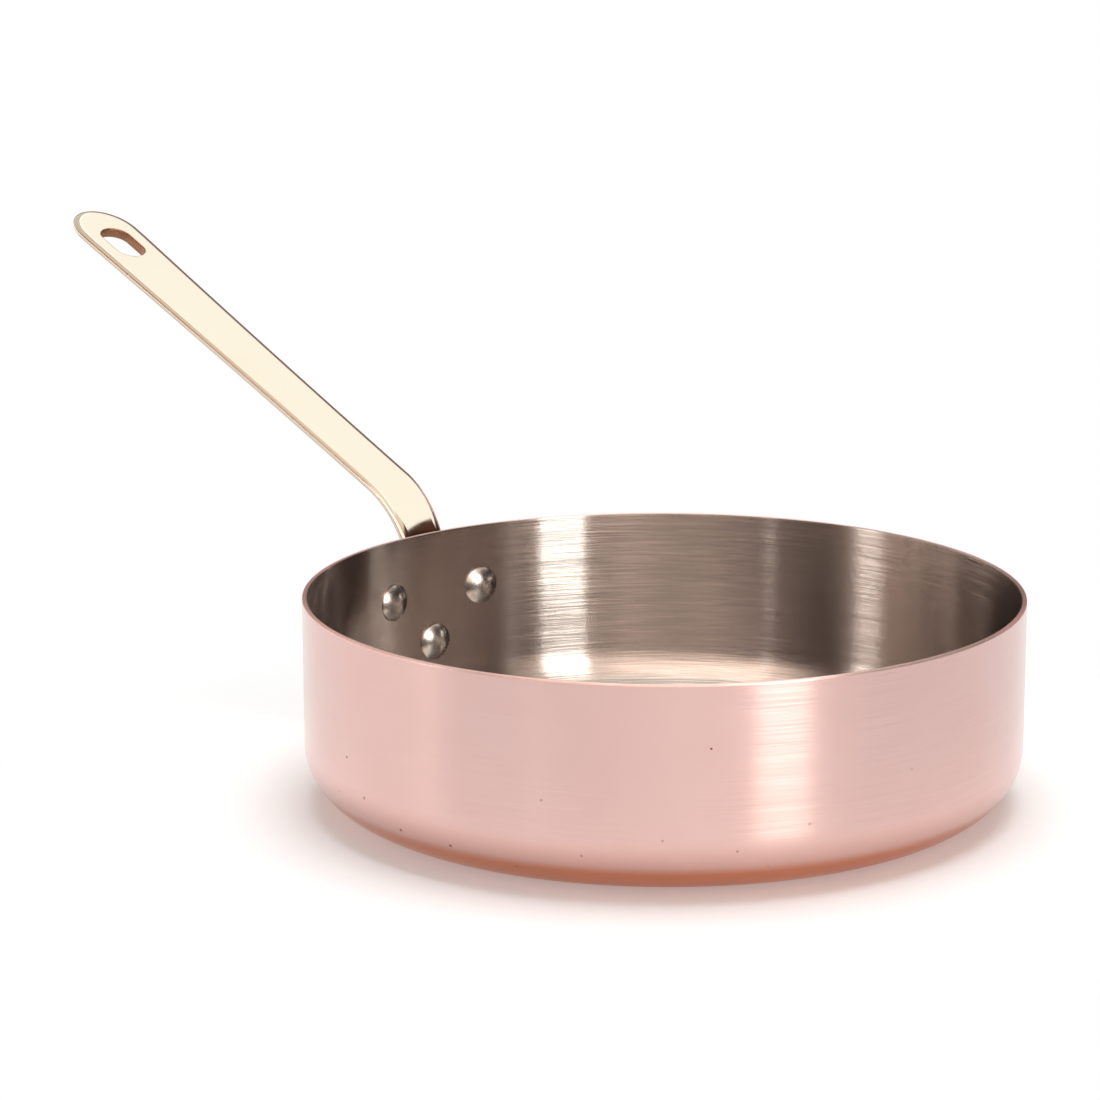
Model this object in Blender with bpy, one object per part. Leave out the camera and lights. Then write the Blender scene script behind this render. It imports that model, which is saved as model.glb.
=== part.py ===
"""Saute pan: a copper body with a steel lining, and a brass handle held on by three rivets.

Metres, +Z up. The origin is the centre of the base's underside, and the handle points along -X.
"""

import math

import bmesh
import bpy
from mathutils import Matrix, Vector

# Body and lining
RIM_RADIUS = 0.1200
PAN_HEIGHT = 0.0700
COPPER_WALL = 0.0011
LINING_WALL = 0.0003
CORNER_WIDTH = 0.0230
CORNER_HEIGHT = 0.0206
RIM_BREAK = 0.0004

# Rivets
SHANK_RADIUS = 0.0030
HEAD_RADIUS = 0.0065
HEAD_HEIGHT = 0.0027
HEAD_EDGE = 0.0004
SET_HEAD_RADIUS = 0.0055
SET_HEAD_HEIGHT = 0.0020
RIVET_SPREAD = 0.0411
UPPER_RIVET_DROP = 0.0220

# Handle
HANDLE_THICKNESS = 0.0040
TOP_ROUND = 0.0010
TOP_EASE = 0.0030
UNDER_ROUND = 0.0040
LOBE_RADIUS = 0.0095
SHOULDER_FILLET = 0.0080
SHOULDER_SLOPE = math.radians(15)
FOOT_WIDTH = 0.0180
NECK_WIDTH = 0.0209
BEND_ABOVE_RIVETS = 0.0022
BEND_RADIUS = 0.0395
BAR_SLOPE = math.radians(23.1)
BAR_LENGTH = 0.1984
END_WIDTH = 0.0260
END_CURVE = 0.0160
END_STRAIGHT = 0.0070
FLARE_EASE = 1.8

# Hanging slot
SLOT_LENGTH = 0.0212
SLOT_WIDTH = 0.0118
SLOT_FROM_TIP = 0.0257
SLOT_BREAK = 0.0006

# Clearances
SEAT_GAP = 0.0003
SHANK_CLEARANCE = 0.0003
CUTTER_OVERRUN = 0.0040
MERGE = 0.000001
SHARP_ANGLE = math.radians(35)
FLAT_CURVE = 0.001

# Facets
WALL_SEGMENTS = 96
CORNER_STEPS = 9
RIVET_SEGMENTS = 28
DOME_STEPS = 5
TOP_STEPS = 3
UNDER_STEPS = 4
ACROSS_STEPS = 10
END_STEPS = 10
FLARE_STEPS = 8
BEND_STEPS = 12
FILLET_STEPS = 5
LOBE_STEPS = 9
EDGE_STEPS = 5
SLOT_STEPS = 10

# What follows from the sizes above
LINING_OUTER = RIM_RADIUS - COPPER_WALL - SEAT_GAP
LINING_INNER = LINING_OUTER - LINING_WALL
FLANGE_RADIUS = RIM_RADIUS + SEAT_GAP
UPPER_RIVET_HEIGHT = PAN_HEIGHT - UPPER_RIVET_DROP
LOWER_RIVET_HEIGHT = CORNER_HEIGHT + LOBE_RADIUS
BEND_START = UPPER_RIVET_HEIGHT + BEND_ABOVE_RIVETS
BEND_ANGLE = math.pi / 2 - BAR_SLOPE
BEND_LENGTH = BEND_RADIUS * BEND_ANGLE
RIM_ALONG = BEND_RADIUS * math.asin((PAN_HEIGHT - BEND_START) / BEND_RADIUS)
TIP_ALONG = BEND_LENGTH + BAR_LENGTH
UPPER_ALONG = UPPER_RIVET_HEIGHT - BEND_START
LOWER_ALONG = LOWER_RIVET_HEIGHT - BEND_START
RIVET_ANGLE = RIVET_SPREAD / 2 / FLANGE_RADIUS
RIVETS = {
    "rivet_upper_left": (RIVET_ANGLE, UPPER_RIVET_HEIGHT),
    "rivet_upper_right": (-RIVET_ANGLE, UPPER_RIVET_HEIGHT),
    "rivet_lower": (0.0, LOWER_RIVET_HEIGHT),
}


def clear_scene():
    for item in list(bpy.data.objects):
        bpy.data.objects.remove(item, do_unlink=True)


def material(name, color, metallic, roughness):
    made = bpy.data.materials.new(name)
    made.use_nodes = True
    shader = made.node_tree.nodes["Principled BSDF"]
    shader.inputs["Base Color"].default_value = (*color, 1.0)
    shader.inputs["Metallic"].default_value = metallic
    shader.inputs["Roughness"].default_value = roughness
    made.diffuse_color = (*color, 1.0)
    return made


def finished(name, shape, surface):
    """A smooth-shaded object from a bmesh, in the scene."""
    mesh = bpy.data.meshes.new(name)
    shape.to_mesh(mesh)
    shape.free()
    mesh.shade_smooth()
    mesh.set_sharp_from_angle(angle=SHARP_ANGLE)
    if surface:
        mesh.materials.append(surface)
    made = bpy.data.objects.new(name, mesh)
    bpy.context.scene.collection.objects.link(made)
    return made


def as_cutter(made):
    made.hide_render = True
    made.display_type = "WIRE"
    return made


def cut(target, cutter):
    modifier = target.modifiers.new("cut_" + cutter.name, "BOOLEAN")
    modifier.operation = "DIFFERENCE"
    modifier.solver = "EXACT"
    modifier.object = cutter


def turned(profile, segments):
    """A closed shape made by turning points of (radius, height) about Z."""
    shape = bmesh.new()
    points = [shape.verts.new((radius, 0.0, height)) for radius, height in profile]
    edges = [shape.edges.new(pair) for pair in zip(points, points[1:])]
    bmesh.ops.spin(
        shape,
        geom=points + edges,
        cent=(0.0, 0.0, 0.0),
        axis=(0.0, 0.0, 1.0),
        angle=2 * math.pi,
        steps=segments,
        use_merge=True,
    )
    bmesh.ops.remove_doubles(shape, verts=shape.verts, dist=MERGE)
    bmesh.ops.recalc_face_normals(shape, faces=shape.faces)
    return shape


def bowl_side(depth_in):
    """One side of the sheet, from the top of its corner to the axis, at a depth inside the outer face."""
    centre = RIM_RADIUS - CORNER_WIDTH
    points = []
    for step in range(CORNER_STEPS + 1):
        turn = math.pi / 2 * step / CORNER_STEPS
        radius = centre + (CORNER_WIDTH - depth_in) * math.cos(turn)
        height = CORNER_HEIGHT - (CORNER_HEIGHT - depth_in) * math.sin(turn)
        points.append((radius, height))
    points.append((0.0, depth_in))
    return points


def sheet_profile(outer_depth, inner_depth, outer_break):
    """A layer of the pan between two depths inside its outer face: up the inside, over the rim, down the outside."""
    inner = list(reversed(bowl_side(inner_depth)))
    rim = [
        (RIM_RADIUS - inner_depth, PAN_HEIGHT),
        (RIM_RADIUS - outer_depth - outer_break, PAN_HEIGHT),
        (RIM_RADIUS - outer_depth, PAN_HEIGHT - outer_break),
    ]
    return inner + rim + bowl_side(outer_depth)


def copper_body(surface):
    profile = sheet_profile(0.0, COPPER_WALL, RIM_BREAK)
    return finished("copper_body", turned(profile, WALL_SEGMENTS), surface)


def steel_lining(surface):
    outer_depth = COPPER_WALL + SEAT_GAP
    profile = sheet_profile(outer_depth, outer_depth + LINING_WALL, LINING_WALL / 3)
    return finished("steel_lining", turned(profile, WALL_SEGMENTS), surface)


def outward(angle):
    """Direction out of the pan at an angle from the handle's middle plane."""
    return Vector((-math.cos(angle), -math.sin(angle), 0.0))


def dome(radius, height, edge, steps):
    """Points over a round head, from its axis at full height down to its seat."""
    rise = height - edge
    ball = (radius**2 + rise**2) / (2 * rise)
    widest = math.asin(radius / ball)
    points = []
    for step in range(steps + 1):
        turn = widest * step / steps
        points.append((ball * math.sin(turn), height - ball * (1 - math.cos(turn))))
    points.append((radius, 0.0))
    return points


def rivet_seats():
    """Distances from the pan's axis to the undersides of a rivet's two heads."""
    inner = math.sqrt(LINING_INNER**2 - HEAD_RADIUS**2) - SEAT_GAP
    outer = FLANGE_RADIUS + HANDLE_THICKNESS + SEAT_GAP
    return inner, outer


def rivet_mesh(surface):
    """A rivet along Z, with the underside of its set head at zero and its domed head at the bottom."""
    inner, outer = rivet_seats()
    length = outer - inner
    set_head = dome(SET_HEAD_RADIUS, SET_HEAD_HEIGHT, HEAD_EDGE, DOME_STEPS)
    head = dome(HEAD_RADIUS, HEAD_HEIGHT, HEAD_EDGE, DOME_STEPS)
    profile = set_head
    profile += [(SHANK_RADIUS, 0.0), (SHANK_RADIUS, -length)]
    profile += [(radius, -length - height) for radius, height in reversed(head)]
    return finished("rivet_pattern", turned(profile, RIVET_SEGMENTS), surface)


def rivets(surface):
    """Three rivets that share one mesh, each placed where it goes through the wall."""
    pattern = rivet_mesh(surface)
    outer = rivet_seats()[1]
    made = []
    for name, (angle, height) in RIVETS.items():
        rivet = bpy.data.objects.new(name, pattern.data)
        bpy.context.scene.collection.objects.link(rivet)
        way = outward(angle)
        rivet.location = way * outer + Vector((0.0, 0.0, height))
        rivet.rotation_mode = "QUATERNION"
        rivet.rotation_quaternion = way.to_track_quat("Z", "Y")
        made.append(rivet)
    bpy.data.objects.remove(pattern)
    return made


def rivet_hole_cutters():
    """One cylinder for each rivet, which goes through the lining, the copper and the flange."""
    inner, outer = rivet_seats()
    depth = outer - inner + 2 * CUTTER_OVERRUN
    made = []
    for name, (angle, height) in RIVETS.items():
        shape = bmesh.new()
        bmesh.ops.create_cone(
            shape,
            cap_ends=True,
            segments=RIVET_SEGMENTS,
            radius1=SHANK_RADIUS + SHANK_CLEARANCE,
            radius2=SHANK_RADIUS + SHANK_CLEARANCE,
            depth=depth,
        )
        cutter = as_cutter(finished("hole_" + name, shape, None))
        way = outward(angle)
        cutter.location = way * (inner + outer) / 2 + Vector((0.0, 0.0, height))
        cutter.rotation_mode = "QUATERNION"
        cutter.rotation_quaternion = way.to_track_quat("Z", "Y")
        made.append(cutter)
    return made


def path_frame(along):
    """A point on the handle's top face, the way along it and the way down through the metal, at its middle.

    along is the length from the bend's start. It runs up the wall, round the bend and out along the bar.
    """
    turn = min(max(along / BEND_RADIUS, 0.0), BEND_ANGLE)
    radius = FLANGE_RADIUS + BEND_RADIUS * (1 - math.cos(turn))
    height = BEND_START + BEND_RADIUS * math.sin(turn)
    straight = along - turn * BEND_RADIUS
    forward = Vector((-math.sin(turn), 0.0, math.cos(turn)))
    down = Vector((-math.cos(turn), 0.0, -math.sin(turn)))
    return Vector((-radius, 0.0, height)) + forward * straight, forward, down


def wall_curve(along):
    """Curvature across the handle: the wall's own on the flange, fading to none by the end of the bend."""
    share = min(max(along / BEND_LENGTH, 0.0), 1.0)
    fade = share * share * (3 - 2 * share)
    return (1 - fade) / FLANGE_RADIUS


def bent(along, across, depth):
    """Where a point of the flat handle goes when the bar is bent and the flange is curved to the wall."""
    middle, _, down = path_frame(along)
    curve = wall_curve(along)
    if curve * FLANGE_RADIUS < FLAT_CURVE:
        return middle + Vector((0.0, across, 0.0)) + down * depth
    radius = 1 / curve
    turn = across * curve
    sideways = (radius + depth) * math.sin(turn)
    sunk = (radius + depth) * math.cos(turn) - radius
    return middle + Vector((0.0, sideways, 0.0)) + down * sunk


def arc(centre, radius, start, end, steps):
    """Points of (along, across) on an arc. The angle is from the along direction towards across."""
    points = []
    for step in range(steps + 1):
        turn = start + (end - start) * step / steps
        points.append((centre[0] + radius * math.cos(turn), centre[1] + radius * math.sin(turn)))
    return points


def end_outline():
    """The round end, half an ellipse, from the tip to its widest place."""
    middle = TIP_ALONG - END_CURVE
    points = []
    for step in range(END_STEPS + 1):
        turn = math.pi / 2 * step / END_STEPS
        points.append((middle + END_CURVE * math.cos(turn), END_WIDTH / 2 * math.sin(turn)))
    return points


def bar_outline():
    """The bar's side, from its widest place back to the end of the bend."""
    widest = TIP_ALONG - END_CURVE - END_STRAIGHT
    points = []
    for step in range(FLARE_STEPS + 1):
        share = 1 - step / FLARE_STEPS
        width = NECK_WIDTH + (END_WIDTH - NECK_WIDTH) * share**FLARE_EASE
        points.append((BEND_LENGTH + (widest - BEND_LENGTH) * share, width / 2))
    return points


def flange_outline():
    """The flange's side: fillet, shoulder, lobe round the upper rivet, straight edge, lobe round the lower one."""
    upper = (UPPER_ALONG, RIVET_SPREAD / 2)
    lower = (LOWER_ALONG, 0.0)
    slope = SHOULDER_SLOPE
    reach = upper[0] * math.cos(slope) + upper[1] * math.sin(slope) + LOBE_RADIUS
    fillet_across = FOOT_WIDTH / 2 + SHOULDER_FILLET
    fillet_along = (reach + SHOULDER_FILLET - fillet_across * math.sin(slope)) / math.cos(slope)
    fillet = arc((fillet_along, fillet_across), SHOULDER_FILLET, -math.pi / 2, slope - math.pi, FILLET_STEPS)
    edge_angle = math.atan2(upper[1] - lower[1], upper[0] - lower[0])
    side = edge_angle + math.pi / 2
    upper_lobe = arc(upper, LOBE_RADIUS, slope, side, LOBE_STEPS)
    lower_lobe = arc(lower, LOBE_RADIUS, side, math.pi, LOBE_STEPS)
    start, end = Vector(upper_lobe[-1]), Vector(lower_lobe[0])
    edge = [tuple(start.lerp(end, step / EDGE_STEPS)) for step in range(1, EDGE_STEPS)]
    return fillet, upper_lobe + edge + lower_lobe


def half_outline():
    """One side of the handle's flat outline, from the tip to the foot of the flange, as (along, across)."""
    fillet, flange = flange_outline()
    top = fillet[0][0]
    neck = []
    for step in range(1, BEND_STEPS):
        share = step / BEND_STEPS
        width = NECK_WIDTH + (FOOT_WIDTH - NECK_WIDTH) * share
        neck.append((BEND_LENGTH + (top - BEND_LENGTH) * share, width / 2))
    return end_outline() + bar_outline() + neck + fillet + flange


def outline_normals(points):
    """The way out of the outline at each of its points, seen flat."""
    first, last = points[1], points[-2]
    padded = [(first[0], -first[1])] + points + [(last[0], -last[1])]
    normals = []
    for before, after in zip(padded, padded[2:]):
        way = Vector((after[1] - before[1], before[0] - after[0]))
        normals.append(way.normalized())
    return normals


def edge_section(along):
    """The section of the handle's edge, from the top face round to the underside, as (inset, depth).

    The top edge is eased widely on the bar and neck, and only rounded on the flange, where it lies on the wall.
    """
    share = min(max(along / RIM_ALONG, 0.0), 1.0)
    ease = TOP_ROUND + (TOP_EASE - TOP_ROUND) * share
    points = []
    for step in range(TOP_STEPS + 1):
        turn = math.pi / 2 * step / TOP_STEPS
        points.append((ease * (1 - math.sin(turn)), TOP_ROUND * (1 - math.cos(turn))))
    for step in range(1, UNDER_STEPS + 1):
        turn = math.pi / 2 * step / UNDER_STEPS
        depth = TOP_ROUND + (HANDLE_THICKNESS - TOP_ROUND) * math.sin(turn)
        points.append((UNDER_ROUND * (1 - math.cos(turn)), depth))
    return points


def rung(point, normal):
    """One closed section of the handle at a pair of outline points, as (along, across, depth)."""
    right = []
    for inset, depth in edge_section(point[0]):
        along = point[0] - normal.x * inset
        across = max(point[1] - normal.y * inset, 0.0)
        right.append((along, across, depth))
    left = [(along, -across, depth) for along, across, depth in right]
    shares = [1 - 2 * step / ACROSS_STEPS for step in range(1, ACROSS_STEPS)]
    under = [(right[-1][0], right[-1][1] * share, right[-1][2]) for share in shares]
    top = [(left[0][0], left[0][1] * share, left[0][2]) for share in shares]
    return right + under + left[::-1] + top


def handle_shape():
    """The handle's skin: sections at every outline point, joined one to the next."""
    points = half_outline()
    shape = bmesh.new()
    rungs = []
    for point, normal in zip(points, outline_normals(points)):
        rungs.append([shape.verts.new(bent(*place)) for place in rung(point, normal)])
    count = len(rungs[0])
    for near, far in zip(rungs, rungs[1:]):
        for index in range(count):
            following = (index + 1) % count
            shape.faces.new((near[index], near[following], far[following], far[index]))
    bmesh.ops.remove_doubles(shape, verts=shape.verts, dist=MERGE)
    bmesh.ops.dissolve_degenerate(shape, edges=shape.edges, dist=MERGE)
    bmesh.ops.recalc_face_normals(shape, faces=shape.faces)
    return shape


def slot_ring(grow, depth):
    """A ring of points round the hanging slot, widened by grow, at a depth below the top face."""
    half = (SLOT_LENGTH - SLOT_WIDTH) / 2
    radius = SLOT_WIDTH / 2 + grow
    far_end = arc((half, 0.0), radius, -math.pi / 2, math.pi / 2, SLOT_STEPS)
    near_end = arc((-half, 0.0), radius, math.pi / 2, 3 * math.pi / 2, SLOT_STEPS)
    return [Vector((along, across, depth)) for along, across in far_end + near_end]


def slot_cutter():
    """A plug through the bar, wider at both faces, so that the slot's edges are broken."""
    levels = [
        (SLOT_BREAK + CUTTER_OVERRUN, -CUTTER_OVERRUN),
        (0.0, SLOT_BREAK),
        (0.0, HANDLE_THICKNESS - SLOT_BREAK),
        (SLOT_BREAK + CUTTER_OVERRUN, HANDLE_THICKNESS + CUTTER_OVERRUN),
    ]
    shape = bmesh.new()
    rings = [[shape.verts.new(place) for place in slot_ring(*level)] for level in levels]
    count = len(rings[0])
    for near, far in zip(rings, rings[1:]):
        for index in range(count):
            following = (index + 1) % count
            shape.faces.new((near[index], near[following], far[following], far[index]))
    shape.faces.new(rings[0])
    shape.faces.new(rings[-1])
    bmesh.ops.recalc_face_normals(shape, faces=shape.faces)
    cutter = as_cutter(finished("hole_slot", shape, None))
    middle, forward, down = path_frame(TIP_ALONG - SLOT_FROM_TIP)
    across = down.cross(forward)
    turn = Matrix((forward, across, down)).transposed()
    cutter.matrix_world = Matrix.Translation(middle) @ turn.to_4x4()
    return cutter


def build():
    clear_scene()
    copper = material("polished_copper", (0.91, 0.56, 0.44), 1.0, 0.22)
    steel = material("brushed_stainless_steel", (0.56, 0.54, 0.51), 1.0, 0.35)
    polished = material("polished_rivet_steel", (0.72, 0.71, 0.69), 1.0, 0.15)
    brass = material("polished_brass", (0.90, 0.78, 0.55), 1.0, 0.16)
    body = copper_body(copper)
    lining = steel_lining(steel)
    handle = finished("handle", handle_shape(), brass)
    fasteners = rivets(polished)
    cutters = rivet_hole_cutters()
    for piece in (body, lining, handle):
        for cutter in cutters:
            cut(piece, cutter)
    slot = slot_cutter()
    cut(handle, slot)
    pan = bpy.data.objects.new("saute_pan", None)
    bpy.context.scene.collection.objects.link(pan)
    for piece in (body, lining, handle, *fasteners, *cutters, slot):
        piece.parent = pan


build()
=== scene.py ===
# %% [markdown]
# # A copper saute pan, finished piece by piece
#
# The pan is a bowl of formed copper sheet, lined with thin stainless steel. A cast brass handle is held to
# its wall by three steel rivets. The solid model gives every piece its place and size, so this lesson only
# adds the fine surface: smoother turning, rounder edges, and what a polisher's wheel, a brush and a few
# years in a kitchen leave on metal.

import math

import bmesh
import bpy
from mathutils import Matrix, Quaternion, Vector


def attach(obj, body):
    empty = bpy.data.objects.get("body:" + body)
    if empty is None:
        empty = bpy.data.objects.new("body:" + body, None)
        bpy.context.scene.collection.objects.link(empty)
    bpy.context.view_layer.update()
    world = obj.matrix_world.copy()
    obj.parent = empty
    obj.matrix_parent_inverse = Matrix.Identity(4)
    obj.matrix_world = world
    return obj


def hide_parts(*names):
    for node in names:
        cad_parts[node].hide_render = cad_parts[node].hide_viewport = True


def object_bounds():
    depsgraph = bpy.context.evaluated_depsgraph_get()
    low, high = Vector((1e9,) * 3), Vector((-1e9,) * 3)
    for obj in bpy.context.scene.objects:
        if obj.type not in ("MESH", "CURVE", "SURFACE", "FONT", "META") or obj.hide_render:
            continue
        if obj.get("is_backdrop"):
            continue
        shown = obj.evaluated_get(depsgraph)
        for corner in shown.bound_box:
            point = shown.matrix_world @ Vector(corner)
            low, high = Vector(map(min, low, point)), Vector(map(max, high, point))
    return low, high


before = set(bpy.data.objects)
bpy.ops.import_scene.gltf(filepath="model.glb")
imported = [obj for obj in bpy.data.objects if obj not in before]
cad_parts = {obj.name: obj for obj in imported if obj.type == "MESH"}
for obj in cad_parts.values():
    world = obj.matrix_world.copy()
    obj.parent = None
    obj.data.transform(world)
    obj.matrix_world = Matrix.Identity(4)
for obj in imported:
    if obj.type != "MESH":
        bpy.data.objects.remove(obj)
cad_low, cad_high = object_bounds()


def mm(lengths):
    """Lengths in millimetres, for printing."""
    return [round(length * 1000, 1) for length in lengths]


print("solid model", mm(b - a for a, b in zip(cad_low, cad_high)), "mm")

# %% [markdown]
# ## Sizes
#
# These are the sizes that the pan was made to, in metres. Everything below is worked out from these names,
# so a change here moves every piece that depends on it.

# %% Sizes of the pan
RIM_RADIUS = 0.1200
PAN_HEIGHT = 0.0700
COPPER_WALL = 0.0011
LINING_WALL = 0.0003
SEAT_GAP = 0.0003
CORNER_WIDTH = 0.0230
CORNER_HEIGHT = 0.0206
RIM_ROUND = 0.0004
JOINT_ROUND = 0.00005
MOUTH_ROUND = 0.00012
BOND = 0.00002

LINING_DEPTH = COPPER_WALL + SEAT_GAP
LINING_INNER = RIM_RADIUS - COPPER_WALL - SEAT_GAP - LINING_WALL
FLANGE_RADIUS = RIM_RADIUS + SEAT_GAP
print("mouth", mm([2 * LINING_INNER]), "mm across, between", mm([2 * RIM_RADIUS]), "mm of copper")

# %% Sizes of the rivets
SHANK_RADIUS = 0.0030
SHANK_CLEARANCE = 0.0003
HEAD_RADIUS = 0.0065
HEAD_HEIGHT = 0.0027
HEAD_EDGE = 0.0004
SET_HEAD_RADIUS = 0.0055
SET_HEAD_HEIGHT = 0.0020
RIVET_SPREAD = 0.0411
UPPER_RIVET_DROP = 0.0220
LOBE_RADIUS = 0.0095

UPPER_RIVET_HEIGHT = PAN_HEIGHT - UPPER_RIVET_DROP
LOWER_RIVET_HEIGHT = CORNER_HEIGHT + LOBE_RADIUS
RIVET_ANGLE = RIVET_SPREAD / 2 / FLANGE_RADIUS
UPPER_LEFT = (RIVET_ANGLE, UPPER_RIVET_HEIGHT)
UPPER_RIGHT = (-RIVET_ANGLE, UPPER_RIVET_HEIGHT)
RIVETS = [UPPER_LEFT, UPPER_RIGHT, (0.0, LOWER_RIVET_HEIGHT)]
print("rivets", mm(height for _, height in RIVETS), "mm above the base")

# %% Sizes of the handle
HANDLE_THICKNESS = 0.0040
TOP_ROUND = 0.0010
TOP_EASE = 0.0030
UNDER_ROUND = 0.0040
SHOULDER_FILLET = 0.0080
SHOULDER_SLOPE = math.radians(15)
FOOT_WIDTH = 0.0180
NECK_WIDTH = 0.0209
BEND_ABOVE_RIVETS = 0.0022
BEND_RADIUS = 0.0395
BAR_SLOPE = math.radians(23.1)
BAR_LENGTH = 0.1984
END_WIDTH = 0.0260
END_CURVE = 0.0160
END_STRAIGHT = 0.0070
FLARE_EASE = 1.8
SLOT_LENGTH = 0.0212
SLOT_WIDTH = 0.0118
SLOT_FROM_TIP = 0.0257
SLOT_BREAK = 0.0006

BEND_START = UPPER_RIVET_HEIGHT + BEND_ABOVE_RIVETS
BEND_ANGLE = math.pi / 2 - BAR_SLOPE
BEND_LENGTH = BEND_RADIUS * BEND_ANGLE
RIM_ALONG = BEND_RADIUS * math.asin((PAN_HEIGHT - BEND_START) / BEND_RADIUS)
TIP_ALONG = BEND_LENGTH + BAR_LENGTH
UPPER_ALONG = UPPER_RIVET_HEIGHT - BEND_START
LOWER_ALONG = LOWER_RIVET_HEIGHT - BEND_START
print("handle", mm([TIP_ALONG]), "mm along its path from the start of the bend")

# %% [markdown]
# The handle's top face follows one path: up the wall, round the bend and straight out along the bar. The
# handle's shape, its slot and even its finish are placed by how far along this path they lie, so the path is
# a function that they share.

# %% The path that the handle follows
def path_frame(along):
    """A point of the path, the way along it, and the way down through the metal."""
    turn = min(max(along / BEND_RADIUS, 0.0), BEND_ANGLE)
    radius = FLANGE_RADIUS + BEND_RADIUS * (1 - math.cos(turn))
    height = BEND_START + BEND_RADIUS * math.sin(turn)
    straight = along - turn * BEND_RADIUS
    way = Vector((-math.sin(turn), 0.0, math.cos(turn)))
    down = Vector((-math.cos(turn), 0.0, -math.sin(turn)))
    return Vector((-radius, 0.0, height)) + way * straight, way, down


print("tip of the handle at", mm(path_frame(TIP_ALONG)[0]), "mm")

# %% [markdown]
# A bmesh is Blender's workbench for a mesh: corners and faces are added to it one by one, and the mesh is
# written from it at the end. Mesh, lamp or camera, it stands in the scene only once an object holds it.

# %% Meshes and objects
def mesh_from(name, shape):
    """A mesh written from a bmesh, which is freed."""
    mesh = bpy.data.meshes.new(name)
    shape.to_mesh(mesh)
    shape.free()
    return mesh


def placed(name, data):
    """A new object in the scene, at the origin."""
    made = bpy.data.objects.new(name, data)
    bpy.context.scene.collection.objects.link(made)
    return made


# %% [markdown]
# ## The camera
#
# The picture was taken with a long lens from about 1.25 m away, a little above the rim. The place, the aim
# and the lens were worked out from the rim's ellipse, so the camera needs no shift, and it is rolled by less
# than a fifth of a degree.

# %% Camera
CAMERA_PLACE = Vector((0.8686, -0.8290, 0.3634))
CAMERA_AIM = Vector((-0.0279, -0.0256, 0.0832))
CAMERA_ROLL = math.radians(-0.173)
LENS = 121.6
SENSOR_WIDTH = 36.0

eye = bpy.data.cameras.new("eye")
eye.lens = LENS
eye.sensor_width = SENSOR_WIDTH
camera = placed("camera", eye)
camera.location = CAMERA_PLACE
camera.rotation_mode = "QUATERNION"
forward = (CAMERA_AIM - CAMERA_PLACE).normalized()
camera.rotation_quaternion = forward.to_track_quat("-Z", "Y") @ Quaternion((0, 0, 1), CAMERA_ROLL)
bpy.context.scene.camera = camera
bpy.context.scene.view_settings.view_transform = "Standard"
print("camera", round(CAMERA_PLACE.length, 3), "m from the pan")

# %% [markdown]
# ## The studio
#
# Polished metal has hardly any look of its own: it shows what stands round it. So the studio has a white
# floor and a white background, lamps that light them softly, and round it all the screens and soft boxes
# that the metal mirrors. Places in the studio are given as the camera sees them, to the right of the pan,
# away from the camera and up.

# %% Places as the camera sees them
SIDE_TURN = math.radians(46.35)


def seen(right, away, up):
    """A place in the studio, in metres from the middle of the pan's base."""
    return Vector((
        right * math.cos(SIDE_TURN) - away * math.sin(SIDE_TURN),
        right * math.sin(SIDE_TURN) + away * math.cos(SIDE_TURN),
        up,
    ))


# %% [markdown]
# Materials, the background and Geometry Nodes are all small machines of nodes. This helper adds nodes one by
# one: a number or a colour goes straight into a socket, and another node's output is linked to it.

# %% Helpers that build with nodes
class Nodes:
    """A tree of nodes, and short ways to add to it."""

    def __init__(self, tree):
        self.tree = tree

    def put(self, socket, value):
        """Links another node's output to a socket, or sets the socket to a value."""
        if isinstance(value, bpy.types.NodeSocket):
            self.tree.links.new(value, socket)
        else:
            socket.default_value = value

    def add(self, kind, inputs=None, **settings):
        """A new node. inputs gives its sockets by name or by number."""
        node = self.tree.nodes.new(kind)
        for name, value in settings.items():
            setattr(node, name, value)
        for name, value in (inputs or {}).items():
            self.put(node.inputs[name], value)
        return node

    def math(self, operation, *values):
        return self.add("ShaderNodeMath", dict(enumerate(values)), operation=operation).outputs[0]

    def vector(self, operation, *values):
        node = self.add("ShaderNodeVectorMath", dict(enumerate(values)), operation=operation)
        return node.outputs["Value" if operation in ("LENGTH", "DISTANCE", "DOT_PRODUCT") else "Vector"]

    def span(self, value, low, high, to_low, to_high):
        """Carries a value from one range to another, and stops it at the ends."""
        sockets = {"Value": value, "From Min": low, "From Max": high, "To Min": to_low, "To Max": to_high}
        return self.add("ShaderNodeMapRange", sockets).outputs["Result"]

    def diagonal(self, first, second):
        """The length of a diagonal from the lengths of its two sides."""
        squares = [self.math("MULTIPLY", side, side) for side in (first, second)]
        return self.math("SQRT", self.math("ADD", *squares))


class Recipe(Nodes):
    """A material and its nodes."""

    def __init__(self, name):
        self.material = bpy.data.materials.new(name)
        self.material.use_nodes = True
        super().__init__(self.material.node_tree)
        self.shader = self.tree.nodes["Principled BSDF"]

    def place(self):
        """Where a point of the object lies. Every finished piece keeps the pan's own axes."""
        return self.add("ShaderNodeTexCoord").outputs["Object"]

    def height(self):
        return self.add("ShaderNodeSeparateXYZ", {0: self.place()}).outputs[2]

    def normal(self):
        return self.add("ShaderNodeNewGeometry").outputs["Normal"]

    def noise(self, vector, scale, detail):
        sockets = {"Vector": vector, "Scale": scale, "Detail": detail}
        return self.add("ShaderNodeTexNoise", sockets).outputs["Fac"]

    def blend(self, share, first, second):
        """A share of the second colour over the first. Inputs 6 and 7 are this node's two colours."""
        return self.add("ShaderNodeMix", {"Factor": share, 6: first, 7: second}, data_type="RGBA").outputs[2]

    def finish(self, **sockets):
        """Sets the main shader's sockets by name, with _ for a space."""
        for name, value in sockets.items():
            self.put(self.shader.inputs[name.replace("_", " ")], value)
        return self.material


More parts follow.
